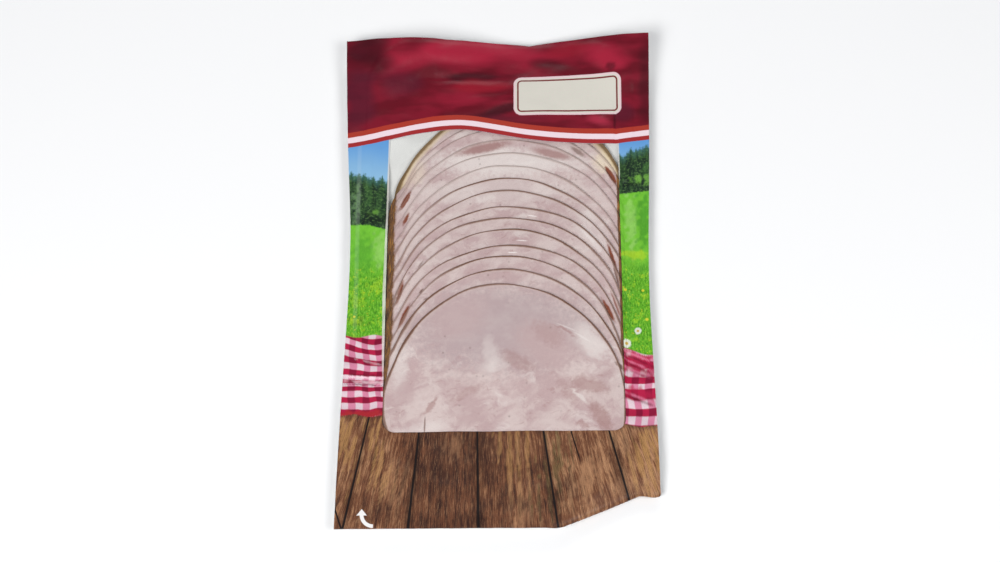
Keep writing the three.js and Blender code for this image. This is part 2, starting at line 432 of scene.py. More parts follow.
def slicesUnder(x, y):
    # number of slices under the film, falling by one over the drape outside each slice's rim
    s = stackShape
    dx = x[None] - sliceX[:, None]
    dx = dx + drawnLeft(dx, filmPull[:, None])
    dy = np.maximum(y[None] - sliceY[:, None], 0)
    angle = np.arctan2(dy, dx)
    waves = np.stack([rimWave(i, angle[i]) for i in range(sliceCount)])
    outside = np.maximum(np.hypot(dx, dy) - s["radius"] - waves, x[None] - s["sideLimit"] - 0.5)
    cover = 1 - softStep(outside / s["drape"])
    return np.maximum.accumulate(cover[::-1], axis=0).sum(0)


packShape = {
    "edgeReach": (76.48, 75.88),         # left, right
    "halfLength": 124.2,
    "flangeHeight": 6.0,
    "leftWaist": (5.8, 12, 62, 98),      # depth, at, reach above and below
    "rightWaist": (3.6, -5, 67, 67),
    "headerDip": (1.15, -5, 60),
    "headerNotch": (1.6, 16, 6),
    "headerWave": {"mean": 2.5, "height": 4.3, "crest": -45, "length": 118, "from": 84},
    "foldStart": (29.0, -124.2),
    "foldEnd": (69.0, -107.6),
    "foldSag": (1.6, 20, 12),            # drop, and the ways over which it sets in and fades
    "rollWidth": 2.6,                    # how far the folded corner's bend runs out, and half its drop
    "rollDrop": 1.6,
    "tipWidth": 3.6,                     # how much nearer the bend starts at the corner's tip
    "tipExtra": 1.2,                     # and how much wider it is there
    "tipFrom": 38,                       # along the fold line
    "weldGap": 0.3,
    "clearance": 0.32,                   # from the slices up to the printed film
    "smoothGap": 0.3,                    # more under the header, where the film bridges the steps
    "filmThickness": 0.12,
    "hollows": (23, 12, 7, 26, 0.30),    # of the loose film, see ripples
    "crinkles": (29, 10, 3, 8, 0.05),
}


def bell(value, depth, at, above, below):
    return depth / (1 + ((value - at) / np.where(value > at, above, below)) ** 2)


def leftEdge(y):
    return bell(y, *packShape["leftWaist"]) - packShape["edgeReach"][0]


def rightEdge(y):
    return packShape["edgeReach"][1] - bell(y, *packShape["rightWaist"])


def topEdge(x):
    # a wide dip and a narrow notch: depth · e^-(distance / reach)², and e^-(distance / reach)
    dip, dipAt, dipReach = packShape["headerDip"]
    notch, notchAt, notchReach = packShape["headerNotch"]
    dipped = packShape["halfLength"] - dip * np.exp(-((x - dipAt) / dipReach) ** 2)
    return dipped - notch * np.exp(-np.abs(x - notchAt) / notchReach)


def foldLineY(x):
    (x0, y0), (x1, y1) = packShape["foldStart"], packShape["foldEnd"]
    return y0 + (y1 - y0) * np.clip((x - x0) / (x1 - x0), 0, 1)


def flangeLevel(x, y):
    # height of the seam between the films: wavy along the header, sagging at the folded corner
    w = packShape["headerWave"]
    swell = w["mean"] + w["height"] * np.cos(2 * np.pi * (x - w["crest"]) / w["length"])
    wave = swell * softStep((y - w["from"]) / (packShape["halfLength"] - w["from"]))
    drop, alongX, alongY = packShape["foldSag"]
    fold = softStep((x - packShape["foldStart"][0]) / alongX) * softStep(1 - (y - foldLineY(x)) / alongY)
    return packShape["flangeHeight"] + wave - drop * fold


# Creases of the film: x and y of both ends, half width, height
filmCreases = [
    (-46, 117, 10, 116, 5, 1), (-38, 102.4, 8, 103, 2, -0.75), (-30, 98.4, 6, 98, 2.4, 0.55),
    (-22, 83, 6, 90.5, 2.4, -0.7), (-14, 92, 8, 94, 1.6, 0.35), (-56, 104, -40, 110, 2.2, -0.45),
    (-30, 111, -6, 108.5, 1.6, -0.3), (20, 113, 44, 109, 3, -0.6), (48, 117, 62, 99, 5, 0.8),
    (56, 109.8, 56, 106.6, 1.5, -0.5), (58.4, 92, 58.2, 66, 0.9, -0.45), (50, 81, 56, 76, 2.4, 0.5),
    (66.5, 96, 69, 74, 1.2, 0.3), (-60.6, 64, -60.4, -30, 0.8, -0.3), (-67.4, 62, -66.6, 6, 1.1, 0.3),
    (-56.5, 20, -57.5, -30, 0.8, 0.22), (64.4, 62, 65, 10, 0.9, 0.28), (70, 50, 69, -20, 0.8, -0.25),
    (61.5, 0, 62.5, -50, 0.8, 0.25), (-73, -50, -54, -51, 1.1, 0.4), (-73, -62, -56, -58, 1, -0.25),
    (62, -44, 74, -52, 1.1, 0.4), (62, -55, 74, -58, 1, -0.3), (-70, -84, -50, -92, 1.4, 0.25),
    (-20, -92, 10, -88, 1.6, 0.2), (30, -96, 52, -104, 1.4, 0.25),
]


def creaseRelief(x, y):
    # each crease is height · e^-(distance from its line / half width)², sharpened on the line
    total = np.zeros_like(x)
    for x0, y0, x1, y1, width, height in filmCreases:
        dx, dy = x1 - x0, y1 - y0
        along = np.clip(((x - x0) * dx + (y - y0) * dy) / (dx * dx + dy * dy), 0, 1)
        fade = softStep(4 * along) * softStep(4 * (1 - along))
        distance = np.hypot(x - x0 - dx * along, y - y0 - dy * along)
        total = total + height * (0.35 + 0.65 * fade) * np.exp(-(distance / width) ** 2)
    return total


sealLine = {"left": -64.5, "right": 66.5, "top": 121.5, "bottom": -112.0, "corner": 24.0, "step": 0.4,
            "fadeFrom": 60.0}


def sealRelief(x, y):
    # the loose film inside the rounded seal line stands a little above the welded margin
    s = sealLine
    qx = np.abs(x - (s["left"] + s["right"]) / 2) - (s["right"] - s["left"]) / 2 + s["corner"]
    qy = np.abs(y - (s["top"] + s["bottom"]) / 2) - (s["top"] - s["bottom"]) / 2 + s["corner"]
    outside = np.hypot(np.maximum(qx, 0), np.maximum(qy, 0)) + np.minimum(np.maximum(qx, qy), 0)
    return s["step"] * softStep(0.5 - (outside - s["corner"]) / 1.6) * softStep((y - s["fadeFrom"]) / 20)


def looseRelief(x, y, outside):
    # small hollows and ripples of the film, stronger past the meat
    free = softStep(outside / 7)
    return ((ripples(x, y, *packShape["hollows"]) + sealRelief(x, y)) * free
            + ripples(x, y, *packShape["crinkles"]) * (0.3 + 0.7 * free)
            + creaseRelief(x, y) * (0.35 + 0.65 * free))


def easeDown(edge, flange, outside):
    # from the height over the stack down to the seam, over a longer way where there is more to fall
    foot = 5 + 1.2 * np.abs(edge - flange)
    return flange + (edge - flange) * (1 - softStep(outside / foot))


def frontSheet(x, y, drop=0.0):
    # over the meat the film follows its steps, and past it eases down to the seam
    nearX, nearY, outside = clampToStack(x, y)
    clings = softStep((stripeLowEdge(x) + 1.5 - y) / 6)
    smooth = slicesAt(nearX, nearY)[0] + packShape["smoothGap"]
    layers = smooth + (slicesUnder(nearX, nearY) - smooth) * clings
    edge = bed(nearX, nearY) + stackShape["step"] * layers + packShape["clearance"]
    flange = flangeLevel(x, y) + packShape["weldGap"] / 2
    return easeDown(edge, flange, outside) + looseRelief(x, y, outside) - drop


def backSheet(x, y):
    nearX, nearY, outside = clampToStack(x, y)
    edge = bellyRise(nearX, nearY) + packShape["filmThickness"]
    flange = flangeLevel(x, y) - packShape["weldGap"] / 2
    return easeDown(edge, flange, outside) + looseRelief(x, y, outside) * softStep((outside - 5) / 8)


def foldUnder(x, y, z, depth):
    # past the fold line the sheet runs round half an oval roll and back under itself;
    # depth is how far the sheet lies beneath the printed film
    p = packShape
    start, end = np.array(p["foldStart"]), np.array(p["foldEnd"])
    along = (end - start) / np.linalg.norm(end - start)
    outward = np.array([along[1], -along[0]])
    t = (x - start[0]) * along[0] + (y - start[1]) * along[1]
    s = (x - start[0]) * outward[0] + (y - start[1]) * outward[1]
    tip = softStep((t - p["tipFrom"]) / 9)
    width = p["rollWidth"] + p["tipExtra"] * tip - depth
    reach = (p["tipWidth"] - p["tipExtra"]) * tip - p["rollWidth"]
    fall = p["rollDrop"] - depth
    arc = np.pi * np.sqrt((width ** 2 + fall ** 2) / 2)
    past = s - reach
    turn = np.clip(past / arc, 0, 1) * np.pi
    newS = np.where(past <= 0, s, reach + width * np.sin(turn) - np.maximum(past - arc, 0))
    newZ = np.where(past <= 0, z, z - fall * (1 - np.cos(turn)))
    return x + (newS - s) * outward[0], y + (newS - s) * outward[1], newZ


# The printed film: four sides between the window's outline and the cut edge

windowShape = {
    "left": (-52.6, -53.4),      # at the top and at the bottom
    "right": (59.0, 59.7),
    "top": 71.0,                 # where the ends above are measured
    "bottom": -78.8,
    "corner": 6.0,
    "topBase": 67.0,
    "topRise": 8.5,
    "topAt": -22.0,
    "topReach": 34.0,
}

printedGrid = {"topColumns": 230, "sideColumns": 300, "bottomColumns": 160, "rings": 44, "margin": 0.004}


def stripeLowEdge(x):
    # base + rise · e^-((x - at) / reach)²
    w = windowShape
    return w["topBase"] + w["topRise"] * np.exp(-((x - w["topAt"]) / w["topReach"]) ** 2)


def windowSide(y, ends):
    share = np.clip((windowShape["top"] - y) / (windowShape["top"] - windowShape["bottom"]), 0, 1)
    return ends[0] + (ends[1] - ends[0]) * share


def outlinePoints(xAtTop, yAtLeft, xBelow, yAtRight, topAt, leftAt, rightAt):
    # counter-clockwise from the top right corner, from the ends of the top, left, lower and right side
    counts = [printedGrid[key] for key in ("topColumns", "sideColumns", "bottomColumns", "sideColumns")]
    ends = (xAtTop, yAtLeft, xBelow, yAtRight)
    top, left, low, right = (np.linspace(*pair, count, endpoint=False) for pair, count in zip(ends, counts))
    x = np.concatenate([top, leftAt(left), low, rightAt(right)])
    return np.stack([x, np.concatenate([topAt(top), left, np.full_like(low, yAtRight[0]), right])], 1)


def windowOutline():
    # the two lower corners are rounded
    w = windowShape
    left, right, bottom, corner = w["left"], w["right"], w["bottom"], w["corner"]
    points = outlinePoints(
        (right[0], left[0]), (stripeLowEdge(left[0]), bottom), (left[1], right[1]),
        (bottom, stripeLowEdge(right[0])), stripeLowEdge,
        lambda y: windowSide(y, left), lambda y: windowSide(y, right))
    for cornerX, inward in ((left[1], 1), (right[1], -1)):
        middle = np.array([cornerX + inward * corner, bottom + corner])
        outX, outY = (middle[0] - points[:, 0]) * inward, middle[1] - points[:, 1]
        bottomSide = outY >= outX
        share = np.where(bottomSide, outX, outY) / corner
        angle = np.radians(270 - inward * np.where(bottomSide, 45 * share, 90 - 45 * share))
        rounded = middle + corner * np.stack([np.cos(angle), np.sin(angle)], 1)
        points = np.where(((outX > 0) & (outY > 0))[:, None], rounded, points)
    return points


def packOutline():
    half = packShape["halfLength"]
    return outlinePoints(
        (rightEdge(half), leftEdge(half)), (half, -half), (leftEdge(-half), rightEdge(-half)),
        (-half, half), topEdge, leftEdge, rightEdge)


def edgedSteps(count, margin):
    # even steps from 0 to 1 with a narrow one at both ends, so that an edge's rounded shading stays narrow
    return np.concatenate([[0], np.linspace(margin, 1 - margin, count - 2), [1]])


def makePrintedFilm(material):
    g = printedGrid
    inner, outer = windowOutline(), packOutline()
    share = edgedSteps(g["rings"], g["margin"])[:, None, None]
    flat = (inner + (outer - inner) * share).reshape(-1, 2)
    x, y = flat[:, 0], flat[:, 1]
    points = np.stack(foldUnder(x, y, frontSheet(x, y), 0.0), 1)
    faces = gridFaces(g["rings"], len(inner), closed=True)[:, ::-1]
    edge = (np.linalg.norm(outer - inner, axis=1) * share[:, :, 0]).ravel()
    piece = makeMesh("printedFilm", points, [faces], flat, {"paint": paintOn(x, y), "edge": edge})
    addThickness(piece, packShape["filmThickness"])
    finishPiece(piece, material, "printed_film", "print_layer")


# The clear film in the window, and the clear film behind the slices

windowGrid = {"columns": 150, "rows": 235, "margin": 0.002, "thickness": 0.06, "overlap": 1.6, "under": 0.13}
backGrid = {"columns": 120, "rows": 190, "margin": 0.002, "thickness": 0.1}


def makeClearFilm(name, g, sides, low, high, place, material, slotName, node):
    # a sheet between a left and a right side, from a straight lower edge to a curved upper one
    across, up = np.meshgrid(edgedSteps(g["columns"], g["margin"]), edgedSteps(g["rows"], g["margin"]))
    left, right = sides(up)
    x = left + (right - left) * across
    y = low + (high(x) - low) * up
    x, y = x.ravel(), y.ravel()
    faces = gridFaces(g["rows"], g["columns"])
    piece = makeMesh(name, np.stack(place(x, y), 1), [faces], np.stack([x, y], 1))
    addThickness(piece, g["thickness"])
    finishPiece(piece, material, slotName, node)


def makeWindowFilm(material):
    # a little larger than the window, just under the printed film
    w, overlap = windowShape, windowGrid["overlap"]
    makeClearFilm(
        "windowFilm", windowGrid, lambda up: (w["left"][1] - overlap, w["right"][1] + overlap),
        w["bottom"] - overlap, lambda x: stripeLowEdge(x) + overlap,
        lambda x, y: (x, y, frontSheet(x, y, windowGrid["under"])), material, "clear_film", "front_film")


def makeBackFilm(material):
    half = packShape["halfLength"]
    makeClearFilm(
        "backFilm", backGrid, lambda up: (leftEdge(half * (2 * up - 1)), rightEdge(half * (2 * up - 1))),
        -half, topEdge, lambda x, y: foldUnder(x, y, backSheet(x, y), packShape["weldGap"]),
        material, "back_film", "back_film")


# The slices: a closed disc with a rounded rim, bedded on the slices behind it

sliceLook = {
    "thickness": 0.93,
    "sectors": 240,
    "topRings": 27,
    "bottomRings": 9,
    "rimSteps": 6,
    "ringPower": 1.7,       # draws the rings together towards the rim
    "span": 0.96,           # share of the radius that the rings take up
    "rindWidth": 0.8,
    "backRindWidth": 1.6,
    # where the rind widens, by slice: angle and half span in degrees, width
    "wedges": {13: [(147, 6, 0.7)], 14: [(146, 8, 0.8)]},
    "faintSlices": 5,       # slices near the back whose rim shows only faintly
    "faintness": 0.34,
    "leftBand": {"width": 3.6, "from": -66.0, "over": 34.0},
    "rightBand": {"width": 1.25, "from": -60.0, "over": 24.0},
    "noRind": 60.0,         # share of the rind's width that stands for no rind near
}


def sliceOutline(angle):
    # a half circle above, and a squarish half oval below
    c, s = np.cos(angle), np.sin(angle)
    power = 2 / stackShape["squareness"]
    x = np.where(s >= 0, c, np.sign(c) * np.abs(c) ** power) * stackShape["radius"]
    y = np.where(s >= 0, stackShape["radius"] * s, -stackShape["depth"] * np.abs(s) ** power)
    return x, y


def sliceProfile():
    # how far in from the rim and how high each ring lies, from the middle of the top to the middle below
    look = sliceLook
    half, power = look["thickness"] / 2, look["ringPower"]
    span = stackShape["radius"] * look["span"] - half
    top = half + span * (1 - np.arange(1, look["topRings"] + 1) / look["topRings"]) ** power
    turn = np.linspace(0, np.pi, look["rimSteps"] + 1)[1:-1]
    bottom = half + span * (np.arange(look["bottomRings"]) / look["bottomRings"]) ** power
    inset = np.concatenate([top, half * (1 - np.sin(turn)), bottom])
    height = np.concatenate([np.full(len(top), 2 * half), half * (1 + np.cos(turn)), np.zeros(len(bottom))])
    return inset, height


def rindWidths(i, angle):
    # width of the brown line along the rim, uneven
    look = sliceLook
    wide = look["backRindWidth"] if i == 0 else look["rindWidth"]
    first, second = rimPhases[i, :2]
    widths = wide * (1 + 0.16 * np.sin(5 * angle + first) + 0.14 * np.sin(11 * angle + second))
    for middle, span, width in look["wedges"].get(i, []):
        widths = widths + width * np.exp(-((np.degrees(angle) - middle) / span) ** 2)
    return widths


def rimBoldness(i, angle):
    # strength of that line: faint near the back of the stack, and stronger along the top than at the sides
    strength = sliceLook["faintness"] if 0 < i <= sliceLook["faintSlices"] else 1.0
    uneven = 0.88 + 0.12 * np.sin(4 * angle + rimPhases[i, 3])
    turned = np.degrees(angle)
    fading = 0.45 * softStep((turned - 105) / 30) + 0.3 * softStep((62 - turned) / 30) * (turned < 180)
    return strength * uneven * (1 - fading * (0 < i < sliceCount - 2))


def bandShare(gap, y, band, phase):
    # distance from the window's edge in widths of the band, which thins out towards the front
    uneven = 1 + 0.07 * np.sin(0.21 * y + phase) + 0.05 * np.sin(0.95 * y + 2 * phase)
    return gap / (band["width"] * uneven * softStep((y - band["from"]) / band["over"]) + 0.02)


def sideRind(x, y):
    # the rind of the slices lies bare along both sides of the window
    left = bandShare(x - windowSide(y, windowShape["left"]), y, sliceLook["leftBand"], 0.4)
    right = bandShare(windowSide(y, windowShape["right"]) - x, y, sliceLook["rightBand"], 2.0)
    return np.minimum(left, right)


def sheetShift(i):
    # every slice takes its marbling from another place, and the front one from where it lies
    return (sliceCount - 1 - i) * np.array([173.0, 211.0])


def makeSlice(i, material):
    s = stackShape
    inset, height = sliceProfile()
    rings, sectors, noRind = len(inset), sliceLook["sectors"], sliceLook["noRind"]
    angle = np.arange(sectors) * 2 * np.pi / sectors
    outX, outY = sliceOutline(angle)
    share = 1 - inset[:, None] / s["radius"]
    stretch = share * (1 + rimWave(i, angle) * share / s["radius"])
    x, y = sliceX[i] + outX * stretch, sliceY[i] + outY * stretch
    x = x - drawnLeft(x - sliceX[i], leftPull[i])
    limit = s["sideLimit"] - inset[:, None]
    x = np.where(limit > s["radius"] / 2, limit - softPositive(limit - x, s["sideRounding"]), x)
    attributes = {
        "rind": inset[:, None] / rindWidths(i, angle),
        "side": np.full_like(x, noRind) if i == 0 else sideRind(x, y),
        "bold": np.broadcast_to(rimBoldness(i, angle), x.shape),
    }
    attributes = {key: np.append(values.ravel(), [noRind] * 2) for key, values in attributes.items()}
    x, y = np.append(x.ravel(), [sliceX[i]] * 2), np.append(y.ravel(), [sliceY[i]] * 2)
    rise = np.append(np.repeat(height, sectors), [sliceLook["thickness"], 0])
    z = bed(x, y) + s["step"] * i + s["sliceLift"] + rise
    # the last two points are the middles of the top and of the underside
    k = np.arange(sectors)
    nextK, last = (k + 1) % sectors, (rings - 1) * sectors
    topCap = np.stack([np.full(sectors, rings * sectors), k, nextK], 1)
    lowCap = np.stack([np.full(sectors, rings * sectors + 1), last + nextK, last + k], 1)
    faces = [gridFaces(rings, sectors, closed=True)[:, ::-1], topCap, lowCap]
    name = "meat" + sliceNodes[i].title().replace("_", "")
    own = np.stack([x, y], 1) + sheetShift(i)
    piece = makeMesh(name, np.stack([x, y, z], 1), faces, own, attributes)
    finishPiece(piece, material, "cooked_meat", sliceNodes[i])


# Meat finish

meatColours = {
    "pale": (207, 188, 184),
    "pink": (188, 161, 160),
    "muscle": (158, 116, 112),
    "cream": (230, 214, 188),
    "rosy": (176, 156, 157),
    "gel": (225, 215, 210),
    "speck": (112, 90, 84),
    "wedge": (124, 54, 18),
    "stain": (106, 68, 52),
    # gleam is the colour of painted highlights of the film lying over the meat
    "gleam": (244, 238, 234),
}

rindColours = {
    "front": {"rind": (104, 66, 46), "inner": (152, 116, 98), "fat": (200, 180, 172), "fatShare": 0.4},
    "back": {"rind": (96, 68, 20), "inner": (150, 116, 50), "fat": (216, 198, 158), "fatShare": 0.7},
}
bandColours = {"rind": (102, 60, 10), "dark": (66, 36, 6), "gold": (158, 108, 24)}

# Patches seen in the window, soft clouds and sharper marks:
# middle, half sizes, turn in degrees, colour, strength
meatClouds = [
    (5, 58, 42, 9, 0, "gel", 0.8), (0, 42, 48, 8, 0, "gel", 0.4), (-46, -42, 5, 20, 0, "gel", 0.5),
    (53, 58, 7, 8, 0, "cream", 0.8), (-40, 52, 5, 9, -30, "cream", 0.4), (46, 20, 8, 16, 30, "gel", 0.35),
    (2, -30, 50, 22, 0, "rosy", 0.75), (-19, -25, 17, 11, 18, "pink", 0.6),
    (23, -38, 17, 11, -22, "pink", 0.8), (-3, -42, 3.5, 10, 6, "gel", 0.35),
    (0, -47, 9, 3, 10, "gel", 0.35), (45, -37, 11, 6, -42, "gel", 0.7), (-36, -78, 14, 4, 10, "gel", 0.5),
    (-43, -60, 4.5, 5.5, 0, "pink", 0.7), (9.5, -45.5, 9.5, 3.8, -26, "muscle", 0.42),
    (43, -57.5, 10, 4.2, -8, "muscle", 0.55), (48.5, -72, 9.5, 3.4, -52, "muscle", 0.65),
    (40, -76, 3.6, 1.8, -20, "muscle", 0.6), (-31.5, -66.5, 5.5, 1.4, 56, "muscle", 0.6),
    (-14, -60, 10, 2, 24, "muscle", 0.3), (31.5, -31.5, 6.5, 1, -26, "muscle", 0.55),
    (24, -33, 9, 5, -30, "muscle", 0.3), (33, -60, 8, 3, -50, "muscle", 0.3),
    (38, -62, 6, 0.8, -40, "gel", 0.6), (12, 57.5, 8, 1.2, 0, "gel", 0.6),
]
# the gleam marks are painted highlights: short glints where the film bridges the slices' edges, light along
# two creases, and a pale sheen of the film on the right
meatMarks = [
    (-33.6, -75.5, 4.6, 0.45, 88, "stain", 0.7), (33, -30, 5.5, 0.4, -22, "gleam", 0.3),
    (40, -34.5, 5, 0.5, -30, "gleam", 0.25), (-6.4, 65.3, 15, 2.6, 13, "muscle", 0.9),
    (26.8, 61.9, 11, 2.5, -15, "muscle", 0.85), (39.4, 63.1, 4.4, 1.4, -36, "stain", 0.7),
    (-44.6, 38, 5.6, 1.3, 63, "wedge", 1.5), (-44.1, 28.1, 3.9, 0.9, 66, "wedge", 1),
    (-46.2, -10.2, 6, 1.2, 75, "wedge", 1.2), (-44, -22.6, 6.8, 1.3, 66, "wedge", 1.2),
    (-35.8, -10.8, 1.6, 0.8, 50, "stain", 0.8), (-33.6, -14.9, 1.4, 0.6, 20, "stain", 0.6),
    (-36.5, 3, 2.4, 0.6, 55, "stain", 0.5), (55.3, 50.5, 6, 1.3, -62, "wedge", 1.5),
    (55, 6, 9, 1, -74, "wedge", 1), (56.6, -2, 8, 0.8, -78, "stain", 0.9),
    (52.6, -20.7, 6.2, 1.1, -62, "wedge", 1.3), (56.2, -17.5, 8, 0.6, -70, "wedge", 0.8),
    (57.6, -47.6, 3.2, 1.1, -38, "stain", 0.9), (44, 18, 6, 2.2, -50, "gleam", 0.35),
    (47.5, 12, 5, 1.6, -55, "gleam", 0.3), (4.4, 48.6, 3.2, 0.35, 0, "gleam", 0.8),
    (3.5, 41.6, 3.4, 0.35, 0, "gleam", 0.75), (16.9, 27.9, 2.6, 0.32, -8, "gleam", 0.7),
    (12, 14.2, 3, 0.32, -3, "gleam", 0.7), (7.3, 7.8, 2.6, 0.32, 0, "gleam", 0.7),
    (-2.7, -1.9, 3, 0.32, 3, "gleam", 0.7),
]


def meatFinish(name, rindLook, clouds, marks):
    f = Finish(name)
    x, y = f.onSheet()
    where = f.place(x, y)
    broad = f.noise(where, 0.045, 3.0, 0.5)
    bent = f.noise(where, 0.09, 4.0, 0.6, 0.6)
    bentX, bentY = x + bent * 14, y + bent * 10
    fine = f.noise(where, 0.55, 4.0, 0.65)
    grain = f.noise(where, 2.2, 2.0, 0.6)
    swirl = f.noise(f.place(bentX, bentY * 1.5), 0.11, 4.0, 0.6)
    gel = f.noise(f.place(bentX * 0.7, bentY * 1.4), 0.1, 4.0, 0.6)
    wisps = f.noise(f.place(bentX, bentY * 2.2), 0.2, 3.0, 0.65)
    colour = f.layers(
        tint(meatColours["pale"]), meatColours, (broad * 0.5 + swirl * 0.5, 0.38, 0.6, 1, "pink"),
        (gel, 0.56, 0.74, 0.4, "gel"), (wisps, 0.6, 0.74, 0.35, "muscle"))
    objectX, objectY = f.inObject()
    spot = f.place(objectX + (swirl - 0.5) * 6, objectY + (bent - 0.5) * 6)
    colour = f.ovals(colour, spot, (fine - 0.5) * 0.9, clouds, meatColours)
    colour = f.ovals(colour, f.place(objectX, objectY), (fine - 0.5) * 0.7, marks, meatColours)
    speckled = f.ease(f.noise(where, 0.11, 1.0), 0.56, 0.7)
    colour = f.layers(colour, meatColours, (f.dots(where, 0.12), 0.08, 0.04, speckled * 0.35, "speck"))
    colour = f.shade(colour, 0.93 + fine * 0.09 + grain * 0.05)
    bold, ragged = f.attribute("bold"), f.attribute("rind") + (fine - 0.5) * 0.4
    colour = f.layers(
        colour, rindLook, (ragged, 2.4, 1.5, bold * rindLook["fatShare"], "fat"),
        (ragged, 1.5, 1.0, bold * 0.75, "inner"), (ragged, 1.15, 0.75, bold, "rind"))
    streaks = f.noise(f.place(objectX * 2.4, objectY * 0.16), 1.0, 4.0, 0.7)
    band = f.layers(tint(bandColours["rind"]), bandColours,
                    (streaks, 0.52, 0.66, 1, "gold"), (streaks, 0.46, 0.34, 1, "dark"))
    side = f.attribute("side") + (fine - 0.5) * 0.35 + (streaks - 0.5) * 0.3
    colour = f.layers(colour, rindLook, (side, 1.2, 1.0, 0.6, "inner"))
    colour = f.blend(f.ease(side, 1.05, 0.85), colour, band)
    return f.surface({
        "Base Color": colour, "Roughness": 0.42 + broad * 0.12, "Specular IOR Level": 0.3,
        "Coat Weight": 0.2, "Coat Roughness": 0.2, "Normal": f.relief(fine * 0.7 + grain * 0.3, 0.2, 0.2),
    })


# Clear film finish

def clearFilmFinish(name, colour, alpha, roughness):
    f = Finish(name)
    where = f.place(*f.onSheet())
    darker = tint([channel * 0.95 for channel in colour])
    return f.surface({
        "Base Color": f.blend(f.noise(where, 0.08, 2.0), darker, tint(colour)), "Alpha": alpha,
        "Roughness": roughness, "Specular IOR Level": 0.55,
        "Normal": f.relief(f.noise(where, 0.35, 3.0, 0.6), 0.2, 0.3),
    })


# Printed film finish: fields of colour placed in millimetres of the flat sheet

printLayout = {
    "leftX": -64.0, "rightX": 67.0,         # where the left and right values below are measured
    "woodTop": (-70.2, -76.6),
    "clothTop": (-31.2, -40.4),
    "treeBase": (25.6, 44.6),
    "treeTop": (51.2, 63.4),
    "treeTopSlope": (-0.17, 0.28),
    # painted highlight: a faint pale line down the left strip, where a crease of the film catches the light
    "gleamX": -67.4,                        # a faint gleam down the left strip
    "inks": {"hemShade": (60, 36, 30), "gleam": (236, 244, 236), "windowEdge": (220, 216, 208)},
}


class PrintSheet(Finish):
    def __init__(self, name):
        super().__init__(name)
        self.x, self.y = self.onSheet()
        self.where = self.place(self.x, self.y)
        self.fine = self.noise(self.where, 0.9, 4.0, 0.65)
        self.broad = self.noise(self.where, 0.05, 2.0, 0.5)
        self.right = self.ease(self.x, -1, 1)
        self.paint = self.attribute("paint", "Color")
        self.cover = self.paint.beside("Alpha")

    def painted(self, colour):
        # the colour beneath, less the cover of the painted patches, and their colour on it
        sockets = {0: 1.0, 6: self.blend(self.cover, colour, (0, 0, 0, 1)), 7: self.paint}
        return self.add("Mix", {"data_type": "RGBA", "blend_type": "ADD"}, sockets, 2)


class PrintArrays:
    # the same names for arrays, so that both find the fields of the print in the same places
    def __init__(self, x, y):
        self.x, self.y = x, y
        self.right = softStep((x + 1) / 2)

    def wave(self, angle):
        return np.sin(angle)

    def least(self, first, second):
        return np.minimum(first, second)

    def most(self, first, second):
        return np.maximum(first, second)


def ofSide(s, ends):
    # one number on the left half of the sheet and another on the right
    return s.right * (ends[1] - ends[0]) + ends[0]


def woodTopY(s):
    ends, span = printLayout["woodTop"], printLayout["rightX"] - printLayout["leftX"]
    slope = (ends[1] - ends[0]) / span
    return s.x * slope + (ends[0] - slope * printLayout["leftX"]) + s.wave(s.x * 0.45) * 0.5


def clothTopY(s):
    return ofSide(s, printLayout["clothTop"]) + s.wave(s.x * 0.42 + 1.0) * 0.6 - s.right * (s.x - 66) * 0.25


def treeBaseY(s):
    return (ofSide(s, printLayout["treeBase"]) + s.right * (s.x - 67) * 0.1
            - s.least(s.most(s.x + 62, 0.0), 12.0) * 0.3)


def paintOn(x, y):
    # Soft oval patches of every field, each laid over the one before it. Where a patch covers, the
    # colour is mixed towards its ink; the fourth value is the share covered in all.
    s = PrintArrays(x, y)
    hem, clothTop, treeBase = woodTopY(s), clothTopY(s), treeBaseY(s)
    header = stripeLowEdge(x) + 4
    fan = (x - woodPrint["fanCentre"]) / (1 + (woodPrint["fanTop"] - y) * woodPrint["fan"])
    grain = ripples(fan, y * 0.07, 41, 12, 0.9, 3.5, 1.7) + ripples(x, y, 43, 8, 2, 6, 0.5)
    rough = ripples(x, y, 47, 14, 1.2, 5, 0.75)
    folds = ripples(x * 0.4, y, 53, 8, 6, 16, 0.3)
    total = np.zeros((len(x), 4))
    for field, low, high, ragged in (
            (woodPrint, hem - 999, hem - 0.3, grain),
            (clothPrint, hem - 0.3, clothTop - 0.4, rough * 0.5),
            (meadowPrint, clothTop + 0.4, treeBase - 0.5, rough * 0.6),
            (treePrint, treeBase + 0.5, header, rough), (headerPrint, header, header + 999, folds)):
        inside = (y > low) & (y < high)
        for middleX, middleY, halfX, halfY, turn, ink, strength in field["patches"]:
            c, n = math.cos(math.radians(turn)), math.sin(math.radians(turn))
            along, across = (x - middleX) * c + (y - middleY) * n, (y - middleY) * c - (x - middleX) * n
            away = np.hypot(along / halfX, across / halfY) + ragged
            share = (softStep((1.25 - away) / 0.8) * strength * inside)[:, None]
            total = total * (1 - share) + np.array(tint(field["inks"][ink])) * share
    return total


